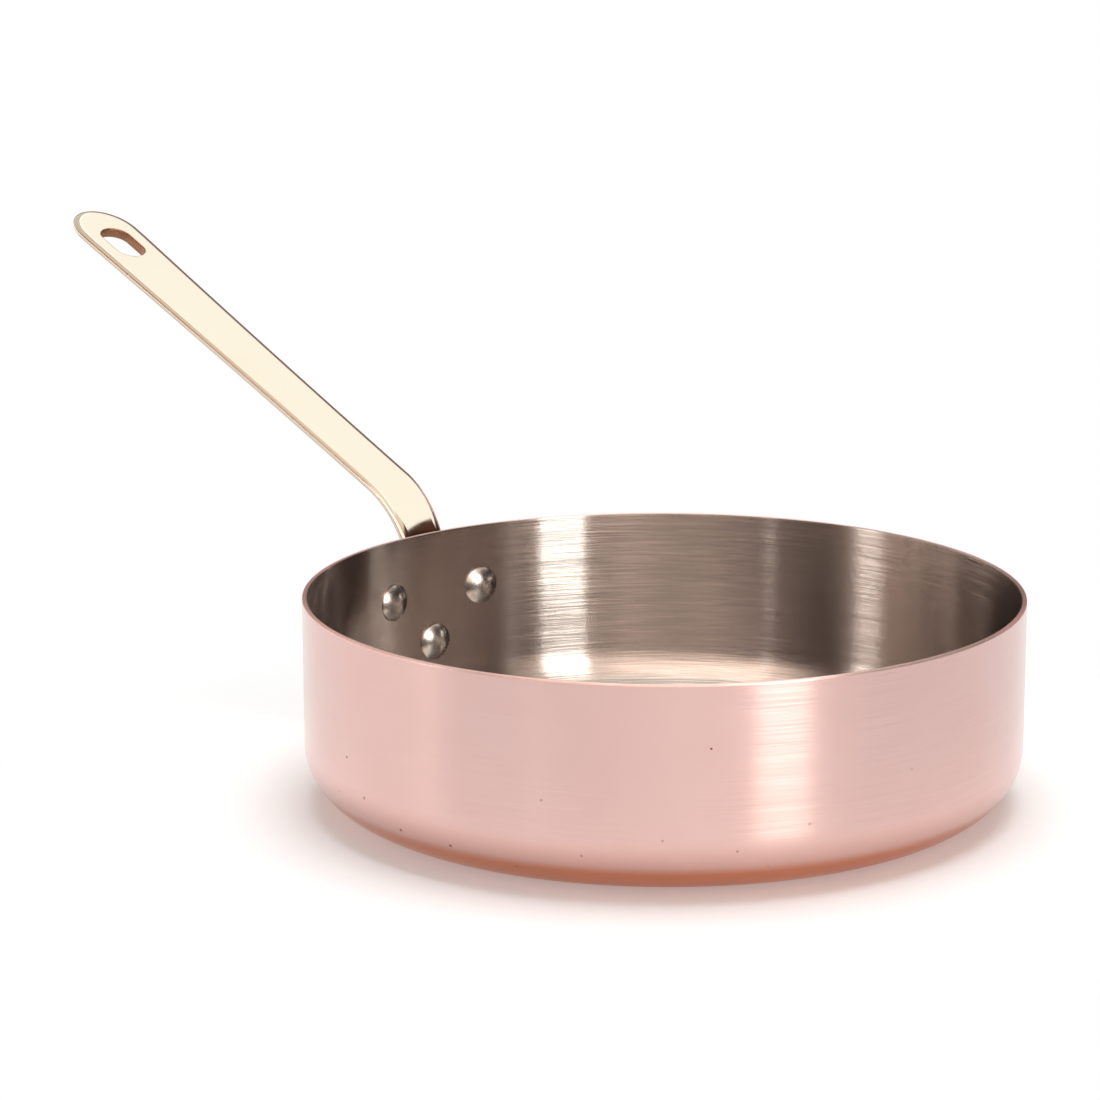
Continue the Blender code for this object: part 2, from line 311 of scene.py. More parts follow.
# %% [markdown]
# ### Floor and background
#
# The floor is plain white and keeps the pan's soft shadow. Further out it glows white at a strength of 1, so
# that it meets the background without a line. The background is white at a strength of 1 too, wherever the
# camera or a mirror-like surface sees it, and the light that it sends out is a separate, softer level.

# %% Floor
FLOOR_SIZE = 6.0
FLOOR_DROP = 0.0002
FLOOR_WHITE = (0.92, 0.92, 0.92, 1.0)
FLOOR_LIFT = 0.27
WHITE_FROM = 0.125
WHITE_BY = 0.23
PAPER = (1.0, 1.0, 1.0, 1.0)
BLACK = (0.0, 0.0, 0.0, 1.0)


def looked_at(nodes):
    """1 for what is seen, straight, in a mirror or through glass, and 0 for soft light."""
    path = nodes.add("ShaderNodeLightPath").outputs
    looked = nodes.math("MAXIMUM", path["Is Camera Ray"], path["Is Glossy Ray"])
    return nodes.math("MAXIMUM", looked, path["Is Transmission Ray"])


def floor_finish():
    recipe = Recipe("white_floor")
    paper = recipe.span(recipe.vector("LENGTH", recipe.place()), WHITE_FROM, WHITE_BY, 0.0, 1.0)
    lift = recipe.span(paper, 0.0, 1.0, FLOOR_LIFT, 1.0)
    glow = recipe.math("MULTIPLY", looked_at(recipe), lift)
    recipe.finish(Base_Color=recipe.blend(paper, FLOOR_WHITE, BLACK), Roughness=0.9,
                  Specular_IOR_Level=0.0, Emission_Color=PAPER, Emission_Strength=glow)
    below = recipe.add("ShaderNodeNewGeometry").outputs["Backfacing"]
    clear = recipe.add("ShaderNodeBsdfTransparent").outputs[0]
    mixed = recipe.add("ShaderNodeMixShader", {0: below, 1: recipe.shader.outputs[0], 2: clear})
    recipe.put(recipe.tree.nodes["Material Output"].inputs["Surface"], mixed.outputs[0])
    return recipe.material


floor_shape = bmesh.new()
bmesh.ops.create_grid(floor_shape, x_segments=1, y_segments=1, size=FLOOR_SIZE / 2)
floor_mesh = mesh_from("floor", floor_shape)
floor_mesh.transform(Matrix.Translation((0, 0, -FLOOR_DROP)))
floor_mesh.materials.append(floor_finish())
floor = placed("floor", floor_mesh)
floor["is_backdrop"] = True
print("floor", FLOOR_SIZE, "m wide, paper white", mm([WHITE_BY]), "mm from the axis")

# %% Background
WORLD_LIGHT = 0.22


def white_background():
    world = bpy.data.worlds.new("white_background")
    world.use_nodes = True
    nodes = Nodes(world.node_tree)
    nodes.tree.nodes.clear()
    strength = nodes.span(looked_at(nodes), 0.0, 1.0, WORLD_LIGHT, 1.0)
    background = nodes.add("ShaderNodeBackground", {"Color": PAPER, "Strength": strength})
    nodes.add("ShaderNodeOutputWorld", {"Surface": background.outputs[0]})
    return world


bpy.context.scene.world = white_background()

# %% [markdown]
# ### Lamps
#
# A large soft box over the pan gives it its soft shadow. A smaller one from the camera's left keeps the
# shadow from going black. The metal doesn't mirror the lamps: what it mirrors comes next.

# %% Lamps
def softbox(name, place, aim, width, height, glow, color=(1.0, 1.0, 1.0)):
    """A rectangular lamp, turned to its aim. glow is its face's brightness, where 1 is white."""
    lamp = bpy.data.lights.new(name, "AREA")
    lamp.shape = "RECTANGLE"
    lamp.size = width
    lamp.size_y = height
    lamp.energy = glow * math.pi * width * height
    lamp.color = color
    made = placed(name, lamp)
    made.location = place
    made.rotation_mode = "QUATERNION"
    made.rotation_quaternion = (aim - place).to_track_quat("-Z", "Y")
    made.visible_camera = False
    made.visible_glossy = False
    print(name, round(lamp.energy, 2), "W")


softbox("large_overhead", seen(0.1, 0.1, 1.3), seen(0, 0, 0), width=1.1, height=0.9, glow=4.4,
        color=(1.0, 0.99, 0.97))
softbox("left_fill", seen(-1.2, -0.8, 0.9), seen(0, 0, 0.05), width=0.8, height=0.8, glow=0.5)

# %% [markdown]
# ### What the metal mirrors
#
# A dome stands round the studio and carries what a photographer would set up: bright screens towards the
# camera and behind the pan's left, dark gaps between them, and a pale ceiling. Only mirror-like surfaces see
# it. It is drawn in six belts, one above the other, and in each a colour ramp runs once round the horizon.
#
# Over the belts stand tall soft boxes. In a brushed wall a tall soft box shows as one upright streak,
# because the scratches run round the pan and spread its light up and down but not sideways. A ramp is too
# coarse for a crisp edge, so each soft box is a window with sides of its own. The last two are screens for
# the handle: their edges draw the dark patch on its neck, just above the pan's rim.

# %% Belts of the dome
DOME_RADIUS = 2.0
BRIGHTEST = 14.0
WHITE = (1.0, 0.97, 0.92)
CLEAR = (0.96, 0.98, 0.95)
WARM = (1.0, 0.81, 0.69)
DUSK = (1.0, 0.62, 0.62)
TAN = (1.0, 0.86, 0.73)
BROWN = (1.0, 0.40, 0.26)

# A belt is a list of runs, each of one tint, and a run is a list of (direction, glow). Directions are in
# degrees: 0 is to the right of the pan, 90 is behind it, -90 is towards the camera. A glow of 1 is as bright
# as the white background.
LOW_BELT = [
    (WARM, [(-180, 2.5), (-165, 2.2), (-155, 0.5), (-112, 0.4), (-100, 0.8), (-85, 1.25), (-45, 1.45),
            (-35, 0.8)]),
    (DUSK, [(-25, 0.1), (-10, 0.02), (20, 0.02), (60, 0.05), (92, 0.1)]),
    (WARM, [(100, 0.6), (112, 1.2), (125, 2.3), (150, 2.7), (180, 2.5)]),
]
EYE_BELT = [
    (DUSK, [(-180, 0.35), (-165, 0.28), (-157, 0.14), (-120, 0.32)]),
    (WARM, [(-105, 0.84), (-85, 1.26), (-72, 2.1), (-62, 2.94), (-45, 2.73), (-38, 1.05)]),
    (DUSK, [(-31, 0.03), (38, 0.02), (48, 1.0), (58, 1.8), (68, 1.2), (74, 0.25), (95, 0.3), (120, 0.28),
            (150, 0.56), (165, 0.28), (180, 0.35)]),
]
HIGH_BELT = [
    (WARM, [(-180, 0.7), (-165, 0.42)]),
    (DUSK, [(-150, 0.07), (-130, 0.21)]),
    (WARM, [(-110, 1.26), (-75, 2.31), (-55, 1.89), (-38, 1.26)]),
    (DUSK, [(-25, 0.03)]),
    (BROWN, [(14, 0.04)]),
    (DUSK, [(95, 0.2)]),
    (WHITE, [(112, 1.4)]),
    (WARM, [(150, 1.68), (165, 0.56), (180, 0.56)]),
]
UPPER_BELT = [
    (WARM, [(-180, 0.28), (-160, 0.42), (-130, 4.41), (-110, 4.2), (-92, 3.99), (-78, 3.99), (-60, 1.47),
            (-42, 0.84)]),
    (BROWN, [(-30, 0.08), (95, 0.06)]),
    (WHITE, [(104, 0.7), (115, 0.84), (150, 0.84)]),
    (WARM, [(170, 0.42), (180, 0.28)]),
]
TOP_BELT = [
    (TAN, [(-180, 1.1), (-165, 1.1)]),
    (WHITE, [(-150, 1.3), (-80, 1.2), (-55, 1.1), (85, 1.1)]),
    (TAN, [(96, 1.1), (180, 1.1)]),
]
ZENITH = [(WHITE, [(-180, 1.3), (180, 1.3)])]

# Belts above the lowest: how high each begins, in degrees, and over how many degrees it takes over.
BELTS = [(12, 3, EYE_BELT), (27, 3, HIGH_BELT), (35, 2, UPPER_BELT), (60, 4, TOP_BELT), (76, 4, ZENITH)]
print("belts begin at", [0] + [height for height, _, _ in BELTS], "degrees up")

# %% Soft boxes on the dome
# Each is (from, to, softness of the sides, lower edge, upper edge, glow, tint), with the edges in degrees.
SOFT_BOXES = [
    (-62.3, -46.2, 1.5, 2, 32, 10.2, CLEAR),
    (-171.0, -160.5, 3.5, 10, 30, 5.2, CLEAR),
    (-129.5, -125.5, 2.0, 5, 34, 1.2, WHITE),
    (57.5, 59.5, 1.0, 5, 30, 0.8, WHITE),
    (9.7, 99.0, 0.6, 34.5, 60, 1.0, WHITE),
    (-60.0, 9.7, 0.6, 44, 60, 0.75, TAN),
]
EDGE_SOFTNESS = 5.0


def window(recipe, value, start, end, soft):
    """1 between two limits and 0 outside them, over a soft edge."""
    opens = recipe.span(value, start - soft / 2, start + soft / 2, 0.0, 1.0)
    closes = recipe.span(value, end - soft / 2, end + soft / 2, 1.0, 0.0)
    return recipe.math("MULTIPLY", opens, closes)


# %% The dome's material
def belt(recipe, round_share, runs):
    """One belt's colours round the horizon, from a share of the full turn."""
    stops = [(direction, glow, tint) for tint, run in runs for direction, glow in run]
    node = recipe.add("ShaderNodeValToRGB", {0: round_share})
    elements = node.color_ramp.elements
    while len(elements) < len(stops):
        elements.new(0.5)
    for element, (direction, glow, tint) in zip(elements, stops):
        element.position = (direction + 180) / 360
        element.color = [glow / BRIGHTEST * part for part in tint] + [1.0]
    return node.outputs["Color"]


def dome_finish():
    recipe = Recipe("studio_dome")
    place = recipe.place()
    right = recipe.vector("DOT_PRODUCT", place, seen(1, 0, 0))
    away = recipe.vector("DOT_PRODUCT", place, seen(0, 1, 0))
    up = recipe.vector("DOT_PRODUCT", place, (0.0, 0.0, 1.0))
    round_degrees = recipe.math("DEGREES", recipe.math("ARCTAN2", away, right))
    round_share = recipe.span(round_degrees, -180.0, 180.0, 0.0, 1.0)
    up_share = recipe.math("DIVIDE", up, recipe.vector("LENGTH", place))
    up_degrees = recipe.math("DEGREES", recipe.math("ARCSINE", up_share))
    color = belt(recipe, round_share, LOW_BELT)
    for height, soft, runs in BELTS:
        share = recipe.span(up_degrees, height - soft / 2, height + soft / 2, 0.0, 1.0)
        color = recipe.blend(share, color, belt(recipe, round_share, runs))
    for start, end, soft, low, high, glow, tint in SOFT_BOXES:
        share = recipe.math("MULTIPLY", window(recipe, round_degrees, start, end, soft),
                            window(recipe, up_degrees, low, high, EDGE_SOFTNESS))
        lit = recipe.vector("MULTIPLY", share, tuple(glow / BRIGHTEST * part for part in tint))
        color = recipe.vector("ADD", color, lit)
    return recipe.finish(Base_Color=BLACK, Specular_IOR_Level=0.0, Emission_Color=color,
                         Emission_Strength=BRIGHTEST)


mirrored = dome_finish()
print("dome", len(SOFT_BOXES), "soft boxes,", len(mirrored.node_tree.nodes), "nodes")

# %% The dome
JUST_BELOW = -0.001


def studio_dome():
    """The upper half of a ball, which only mirror-like surfaces see."""
    shape = bmesh.new()
    bmesh.ops.create_uvsphere(shape, u_segments=96, v_segments=48, radius=DOME_RADIUS)
    below = [corner for corner in shape.verts if corner.co.z < JUST_BELOW]
    bmesh.ops.delete(shape, geom=below, context="VERTS")
    mesh = mesh_from("studio_dome", shape)
    mesh.materials.append(mirrored)
    dome = placed("studio_dome", mesh)
    for rays in ("camera", "diffuse", "shadow", "transmission"):
        setattr(dome, "visible_" + rays, False)
    dome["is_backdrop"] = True
    return dome


dome = studio_dome()
print("dome", DOME_RADIUS, "m in radius,", len(dome.data.polygons), "faces")

# %% [markdown]
# ## Turned pieces
#
# The copper, the lining and the rivets are all round, and each could be made by turning half of its section
# about an axis, as a lathe does. Geometry Nodes do this with a rule: a grid has one row for each point of
# the section and one column for each step round the axis, and every grid point takes the place of its
# section point and then turns by its column's angle. Points that meet at the seam and on the axis are
# welded. A tree ends by making its result real geometry and giving it its material.

# %% Starting, ending and using a tree
def begin_tree(name, inputs, result):
    """A new tree with named inputs, as (name, kind), and one named result."""
    tree = bpy.data.node_groups.new(name, "GeometryNodeTree")
    for label, kind in inputs:
        tree.interface.new_socket(label, in_out="INPUT", socket_type="NodeSocket" + kind)
    tree.interface.new_socket(result, in_out="OUTPUT", socket_type="NodeSocketGeometry")
    nodes = Nodes(tree)
    return nodes, nodes.add("NodeGroupInput").outputs


def end_tree(nodes, shape, material):
    real = nodes.add("GeometryNodeRealizeInstances", {"Geometry": shape})
    finish = nodes.add("GeometryNodeSetMaterial", {"Geometry": real.outputs[0], "Material": material})
    nodes.add("NodeGroupOutput", {0: finish.outputs[0]})
    print(nodes.tree.name, "has", len(nodes.tree.nodes), "nodes")
    return nodes.tree


def use_tree(source, tree, values):
    """Adds a tree to an object as a modifier, which knows each input by its socket's identifier."""
    modifier = source.modifiers.new(tree.name, "NODES")
    modifier.node_group = tree
    for item in tree.interface.items_tree:
        if item.name in values and item.in_out == "INPUT":
            modifier[item.identifier] = values[item.name]


# %% Turning, as a node tree
def turning_tree():
    nodes, given = begin_tree("turning", [("Section", "Geometry"), ("Steps round", "Int"),
                                          ("Weld distance", "Float"), ("Finish", "Material")], "Piece")
    count = nodes.add("GeometryNodeAttributeDomainSize", {"Geometry": given["Section"]}, component="MESH")
    rows = count.outputs["Point Count"]
    columns = nodes.add("FunctionNodeIntegerMath", {0: given["Steps round"], 1: 1}, operation="ADD")
    grid = nodes.add("GeometryNodeMeshGrid", {"Vertices X": columns.outputs[0], "Vertices Y": rows})

    index = nodes.add("GeometryNodeInputIndex").outputs[0]
    row = nodes.add("FunctionNodeIntegerMath", {0: index, 1: rows}, operation="MODULO")
    column = nodes.add("FunctionNodeIntegerMath", {0: index, 1: rows}, operation="DIVIDE_FLOOR")
    position = nodes.add("GeometryNodeInputPosition").outputs[0]
    sockets = {"Geometry": given["Section"], "Value": position, "Index": row.outputs[0]}
    sample = nodes.add("GeometryNodeSampleIndex", sockets, data_type="FLOAT_VECTOR", domain="POINT")

    share = nodes.math("DIVIDE", column.outputs[0], given["Steps round"])
    angle = nodes.math("MULTIPLY", share, 2 * math.pi)
    sockets = {"Vector": sample.outputs["Value"], "Angle": angle}
    turned_place = nodes.add("ShaderNodeVectorRotate", sockets, rotation_type="Z_AXIS").outputs["Vector"]
    sockets = {"Geometry": grid.outputs["Mesh"], "Position": turned_place}
    moved = nodes.add("GeometryNodeSetPosition", sockets)
    sockets = {"Geometry": moved.outputs[0], "Distance": given["Weld distance"]}
    weld = nodes.add("GeometryNodeMergeByDistance", sockets)
    return end_tree(nodes, weld.outputs[0], given["Finish"])


turning = turning_tree()

# %% [markdown]
# The section goes in as a chain of points. Its tree, and any holes drilled through the piece, are applied at
# once and the result is kept as a plain mesh.

# %% Turn a section into a finished mesh
WELD = 0.000001
SHARP = math.radians(35)


def clean(shape):
    """Welds corners that meet, drops faces without area, and turns every face outwards."""
    bmesh.ops.remove_doubles(shape, verts=shape.verts, dist=WELD)
    bmesh.ops.dissolve_degenerate(shape, edges=shape.edges, dist=WELD)
    bmesh.ops.recalc_face_normals(shape, faces=shape.faces)


def plain_copy(name, source):
    """What an object looks like with its modifiers, as a new object. The source is removed."""
    evaluated = source.evaluated_get(bpy.context.evaluated_depsgraph_get())
    mesh = bpy.data.meshes.new_from_object(evaluated)
    bpy.data.objects.remove(source, do_unlink=True)
    mesh.name = name
    shape = bmesh.new()
    shape.from_mesh(mesh)
    clean(shape)
    shape.to_mesh(mesh)
    shape.free()
    mesh.shade_smooth()
    mesh.set_sharp_from_angle(angle=SHARP)
    print(name, len(mesh.polygons), "faces")
    return placed(name, mesh)


def drill(piece, cutters):
    for cutter in cutters:
        hole = piece.modifiers.new("hole", "BOOLEAN")
        hole.operation = "DIFFERENCE"
        hole.solver = "EXACT"
        hole.object = cutter


def turned(name, section, steps, material, cutters=()):
    """A round piece from points of (radius, height), turned about the Z axis and drilled."""
    mesh = bpy.data.meshes.new(name + "_section")
    points = [(radius, 0.0, height) for radius, height in section]
    mesh.from_pydata(points, [(i, i + 1) for i in range(len(points) - 1)], [])
    source = placed(name + "_section", mesh)
    use_tree(source, turning, {"Steps round": steps, "Weld distance": WELD, "Finish": material})
    drill(source, cutters)
    return plain_copy(name, source)


# %% [markdown]
# ## The finishes
#
# The polishing wheel and the brush ran round the pan while it turned, so the fine lines follow circles.
# Their pattern is read from the direction from the axis, which changes slowly along a line, and from the
# distance along the section, which changes quickly across the lines. On the wall that distance is the
# height, on the floor it is the radius, and height less radius serves for both.

# %% Lines that run round the axis
def turned_lines(recipe, length, width, detail=3.0, shift=0.0):
    """Noise drawn out round the Z axis. length is in radians and width in metres."""
    flat = recipe.vector("MULTIPLY", recipe.place(), (1.0, 1.0, 0.0))
    section = recipe.math("SUBTRACT", recipe.height(), recipe.vector("LENGTH", flat))
    across = recipe.math("MULTIPLY_ADD", section, 1 / width, shift)
    upright = recipe.add("ShaderNodeCombineXYZ", {2: across}).outputs[0]
    direction = recipe.vector("NORMALIZE", flat)
    drawn = recipe.vector("MULTIPLY_ADD", direction, (1 / length, 1 / length, 0.0), upright)
    return recipe.noise(drawn, 1.0, detail)


def round_the_axis(recipe):
    """The direction in which the wheel ran, for the shader's Tangent."""
    return recipe.vector("NORMALIZE", recipe.vector("CROSS_PRODUCT", (0.0, 0.0, 1.0), recipe.place()))


def tipped_normal(recipe, *lines):
    """The surface's normal, tipped across the lines. Each of them is a noise and a tilt."""
    normal = recipe.normal()
    across = recipe.vector("CROSS_PRODUCT", normal, round_the_axis(recipe))
    for noise, tilt in lines:
        tip = recipe.math("MULTIPLY", recipe.math("SUBTRACT", noise, 0.5), tilt)
        normal = recipe.vector("MULTIPLY_ADD", across, tip, normal)
    return recipe.vector("NORMALIZE", normal)


def metal(recipe, color, roughness, normal, **more):
    print(recipe.material.name, len(recipe.tree.nodes), "nodes")
    return recipe.finish(Base_Color=color, Metallic=1.0, Roughness=roughness, Normal=normal, **more)


def turned_metal(recipe, color, roughness, normal, streak):
    """A metal that draws light out across the wheel's lines. streak says how far, from 0 to 1."""
    return metal(recipe, color, roughness, normal, Anisotropic=streak, Anisotropic_Rotation=0.25,
                 Tangent=round_the_axis(recipe))


# %% [markdown]
# ### Copper
#
# The outside was buffed until it mirrors softly. The wheel's lines are so fine that they show mainly as a
# spread of light up and down. Where the wall rolls under, the copper is painted darker as painted shade, and
# round the foot an orange band is a painted reflection of the shadowed floor beside the pan. The rim's edge
# was only filed, so it is satin, and its top is painted paler as a painted highlight. A few small dark pits
# are the marks that real pans carry.

# %% Copper's colours
COPPER_COLOR = (0.755, 0.518, 0.48, 1.0)
COPPER_DEEP = (0.73, 0.485, 0.44, 1.0)
# Painted shade: this darker copper is painted where the wall rolls under.
COPPER_ROLL_SHADE = (0.65, 0.42, 0.375, 1.0)
# Painted reflection: the shadowed floor beside the pan, lit by the copper, shows as this orange round the
# foot.
COPPER_FOOT_REFLECTION = (0.64, 0.28, 0.17, 1.0)
# Painted highlight: the rim's top is painted in this paler copper.
COPPER_RIM_HIGHLIGHT = (0.84, 0.62, 0.58, 1.0)
COPPER_PIT = (0.20, 0.07, 0.045, 1.0)
# The painted shade is full below the first height and gone above the second.
ROLL_SHADE_HEIGHTS = (0.011, 0.022)
# The painted reflection at the foot is full below the first height and gone above the second.
FOOT_REFLECTION_HEIGHTS = (0.0085, 0.0115)
# Depth of the band at the rim's top that takes the painted highlight and the rougher filed finish.
RIM_DEPTH = 0.0006
RIM_ROUGHNESS = 0.35
print("orange band fades over", mm(FOOT_REFLECTION_HEIGHTS), "mm")

# %% Marks on the copper
# Each is (direction round the pan as the camera sees it, height and width in millimetres, darkness).
MARKS = [
    (-147, 31, 1.2, 0.8), (-150, 18, 1.0, 0.6), (-142, 20, 1.2, 0.8), (-143, 14, 0.9, 0.4),
    (-134, 13, 1.5, 0.9), (-124, 12, 1.4, 1.0), (-113, 8, 0.9, 0.8), (-110, 5, 0.9, 0.6),
    (-102, 15, 0.9, 0.8), (-90, 21, 1.0, 0.5), (-83, 50, 1.0, 1.0), (-79, 17, 1.1, 0.6),
    (-74, 11, 0.8, 0.5), (-68, 24, 1.0, 0.6), (-108, 32, 0.8, 0.7), (-50, 36, 1.0, 0.3),
    (20, 14, 1.2, 0.8), (75, 30, 1.0, 0.6), (118, 22, 1.2, 0.8), (152, 12, 1.0, 0.7),
]
MARK_CORE = 0.4


def outer_radius(height):
    """Radius of the copper's outer face at a height."""
    share = max(CORNER_HEIGHT - height, 0.0) / CORNER_HEIGHT
    return RIM_RADIUS - CORNER_WIDTH * (1 - math.sqrt(1 - share * share))


def marks_share(recipe):
    """How dark each small mark is, from its darkness in its middle to 0 on clean metal."""
    place = recipe.place()
    share = 0.0
    for direction, height, width, darkness in MARKS:
        turn = math.radians(direction)
        radius = outer_radius(height / 1000)
        middle = seen(radius * math.cos(turn), radius * math.sin(turn), height / 1000)
        away = recipe.vector("DISTANCE", place, middle)
        edge = width / 2 / 1000
        share = recipe.math("MAXIMUM", share, recipe.span(away, MARK_CORE * edge, edge, darkness, 0.0))
    return share


print(len(MARKS), "marks, the largest", max(mark[2] for mark in MARKS), "mm wide")

# %% Copper
def copper_finish():
    recipe = Recipe("buffed_copper")
    fine = turned_lines(recipe, length=0.35, width=0.00025)
    broad = turned_lines(recipe, length=0.9, width=0.0030, detail=2.0, shift=17.0)
    cloud = recipe.noise(recipe.place(), 28.0, 3.0)
    height = recipe.height()
    color = recipe.blend(recipe.span(cloud, 0.35, 0.75, 0.0, 0.8), COPPER_COLOR, COPPER_DEEP)
    # Painted shade where the wall rolls under.
    color = recipe.blend(recipe.span(height, *ROLL_SHADE_HEIGHTS, 1.0, 0.0), color, COPPER_ROLL_SHADE)
    # Painted reflection of the shadowed floor, orange round the foot.
    color = recipe.blend(recipe.span(height, *FOOT_REFLECTION_HEIGHTS, 1.0, 0.0), color, COPPER_FOOT_REFLECTION)
    color = recipe.blend(marks_share(recipe), color, COPPER_PIT)
    # Painted highlight: the rim's top is painted paler. Its higher roughness is the filed finish.
    rim = recipe.span(height, PAN_HEIGHT - RIM_DEPTH, PAN_HEIGHT - RIM_DEPTH / 2, 0.0, 1.0)
    color = recipe.blend(rim, color, COPPER_RIM_HIGHLIGHT)
    roughness = recipe.span(fine, 0.3, 0.7, 0.19, 0.23)
    roughness = recipe.math("MULTIPLY_ADD", rim, RIM_ROUGHNESS, roughness)
    normal = tipped_normal(recipe, (fine, 0.10), (broad, 0.015))
    return turned_metal(recipe, color, roughness, normal, 0.9)


copper = copper_finish()

# %% [markdown]
# ### Brushed steel
#
# The lining was brushed while the pan turned. Its scratches are coarse enough to see, and they throw each
# light up and down the wall in one upright streak with crisp sides. Much of the light in a pan has bounced
# off the steel twice, so the steel is kept darker than a flat sheet: a brighter one would fill the dark
# streaks with that second bounce.

# %% Brushed steel
STEEL_COLOR = (0.475, 0.43, 0.405, 1.0)
STEEL_DULL = (0.425, 0.385, 0.36, 1.0)
FLOOR_STEEL = (0.35, 0.335, 0.335, 1.0)
FLOOR_HEIGHTS = (0.003, 0.010)
FLOOR_SHARE = 0.6


def lining_finish():
    recipe = Recipe("brushed_steel_lining")
    fine = turned_lines(recipe, length=0.25, width=0.00002, detail=1.0)
    scratches = turned_lines(recipe, length=0.20, width=0.00035, shift=9.0)
    broad = turned_lines(recipe, length=0.50, width=0.0020, detail=2.0, shift=5.0)
    lines = recipe.math("MULTIPLY_ADD", scratches, 0.7, recipe.math("MULTIPLY", broad, 0.3))
    color = recipe.blend(recipe.span(lines, 0.38, 0.62, 0.0, 1.0), STEEL_DULL, STEEL_COLOR)
    on_the_floor = recipe.span(recipe.height(), *FLOOR_HEIGHTS, FLOOR_SHARE, 0.0)
    color = recipe.blend(on_the_floor, color, FLOOR_STEEL)
    roughness = recipe.span(fine, 0.25, 0.75, 0.17, 0.21)
    normal = tipped_normal(recipe, (fine, 1.4), (scratches, 0.006), (broad, 0.003))
    return turned_metal(recipe, color, roughness, normal, 1.0)


lining_steel = lining_finish()

# %% [markdown]
# ### Brass and rivet steel
#
# The handle was cast, filed and polished by hand, so its faces are very slightly uneven, and faint polishing
# marks run along it. Its narrow sides were filed and are rougher, and they are painted browner and less
# bright as painted shade. The wheel couldn't reach into the slot, whose wall stayed dull and brown. The
# rivet heads were struck and then polished.

# %% The slot's wall, and the sides that carry painted shade
SLOT_WALL_DEPTH = 0.0002
END_FADE = 0.004
SIDE_TILTS = (0.17, 0.28)
SIDEWAYS = (0.0, 1.0, 0.0)


def in_the_slot(recipe):
    """1 on the slot's wall and 0 elsewhere on the handle."""
    middle, way, _ = path_frame(TIP_ALONG - SLOT_FROM_TIP)
    offset = recipe.vector("SUBTRACT", recipe.place(), middle)
    along = recipe.math("ABSOLUTE", recipe.vector("DOT_PRODUCT", offset, way))
    past_straight = recipe.math("SUBTRACT", along, (SLOT_LENGTH - SLOT_WIDTH) / 2)
    past_straight = recipe.math("MAXIMUM", past_straight, 0.0)
    from_middle = recipe.diagonal(past_straight, recipe.vector("DOT_PRODUCT", offset, SIDEWAYS))
    edge = SLOT_WIDTH / 2 + SLOT_WALL_DEPTH
    return recipe.span(from_middle, edge, edge + SLOT_WALL_DEPTH, 1.0, 0.0)


def on_the_side(recipe):
    """1 on the sides of the bar and round its tip, 0 on its broad faces."""
    tip, way, _ = path_frame(TIP_ALONG)
    normal = recipe.normal()
    sideways = recipe.math("ABSOLUTE", recipe.vector("DOT_PRODUCT", normal, SIDEWAYS))
    endways = recipe.math("ABSOLUTE", recipe.vector("DOT_PRODUCT", normal, way))
    offset = recipe.vector("SUBTRACT", recipe.place(), tip)
    past = recipe.vector("DOT_PRODUCT", offset, way)
    at_the_end = recipe.span(past, -END_CURVE - END_FADE, -END_CURVE, 0.0, 1.0)
    tilt = recipe.diagonal(sideways, recipe.math("MULTIPLY", endways, at_the_end))
    return recipe.span(tilt, *SIDE_TILTS, 0.0, 1.0)


# %% Brass
BRASS_COLOR = (0.925, 0.91, 0.79, 1.0)
BRASS_DEEP = (0.92, 0.885, 0.74, 1.0)
# Painted shade: the narrow sides and the end of the tip are painted in this browner, darker brass.
BRASS_SIDE_SHADE = (0.66, 0.55, 0.45, 1.0)
BRASS_DULL = (0.30, 0.15, 0.09, 1.0)
MARKS_TO_A_METRE = (60.0, 1800.0, 60.0)


def brass_finish():
    recipe = Recipe("polished_brass")
    place = recipe.place()
    marks = recipe.noise(recipe.vector("MULTIPLY", place, MARKS_TO_A_METRE), 1.0, 3.0)
    uneven = recipe.noise(place, 55.0, 1.0)
    cloud = recipe.noise(place, 35.0, 3.0)
    dull = in_the_slot(recipe)
    side = on_the_side(recipe)
    bright = recipe.blend(recipe.span(cloud, 0.4, 0.7, 0.0, 0.6), BRASS_COLOR, BRASS_DEEP)
    # Painted shade on the narrow sides, and dull brass on the slot's wall.
    color = recipe.blend(dull, recipe.blend(side, bright, BRASS_SIDE_SHADE), BRASS_DULL)
    roughness = recipe.span(marks, 0.3, 0.7, 0.055, 0.09)
    roughness = recipe.math("MULTIPLY_ADD", side, 0.18, roughness)
    roughness = recipe.math("MULTIPLY_ADD", dull, 0.25, roughness)
    depth = recipe.span(side, 0.0, 1.0, 0.012, 0.0)
    height = recipe.math("MULTIPLY_ADD", marks, depth, uneven)
    bump = recipe.add("ShaderNodeBump", {"Height": height, "Strength": 0.08, "Distance": 0.0006})
    return metal(recipe, color, roughness, bump.outputs[0])


brass = brass_finish()

# %% Rivet steel
RIVET_COLOR = (0.60, 0.57, 0.54, 1.0)
RIVET_DULL = (0.54, 0.51, 0.48, 1.0)


def rivet_finish():
    recipe = Recipe("polished_rivet_steel")
    place = recipe.place()
    grain = recipe.noise(place, 500.0, 3.0)
    uneven = recipe.noise(place, 120.0, 1.0)
    color = recipe.blend(recipe.span(grain, 0.35, 0.7, 0.0, 1.0), RIVET_COLOR, RIVET_DULL)
    roughness = recipe.span(grain, 0.3, 0.7, 0.25, 0.28)
    bump = recipe.add("ShaderNodeBump", {"Height": uneven, "Strength": 0.05, "Distance": 0.0004})
    return metal(recipe, color, roughness, bump.outputs[0])


rivet_steel = rivet_finish()

